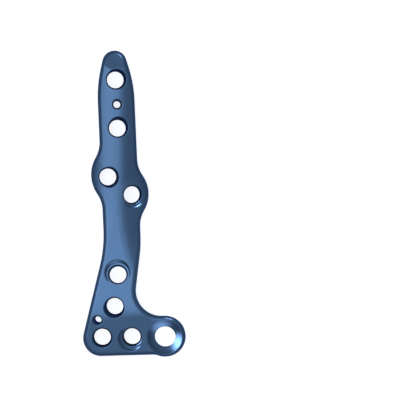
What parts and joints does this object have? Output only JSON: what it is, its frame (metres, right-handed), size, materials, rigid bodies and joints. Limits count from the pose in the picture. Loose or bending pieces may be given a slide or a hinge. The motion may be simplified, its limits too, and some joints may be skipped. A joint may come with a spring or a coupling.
{
  "type": "orthopedic bone plate",
  "caption": "L-shaped contoured locking bone plate with a tapered shaft, side wings, angled threaded screw holes, guide wire holes and a dished screw hole in a round boss.",
  "frame": {"origin": "middle of the plate's box in X and Y, at the level that it lies on", "axes": "+Z out of the outer face, +Y along the shaft to the tapered tip, and the boss of the foot at +X"},
  "size_m": [0.0238, 0.0712, 0.0039],
  "materials": {
    "anodised_titanium": "blue anodised, satin"
  },
  "bodies": {
    "root": {"bone_plate": "anodised_titanium"}
  },
  "joints": []
}
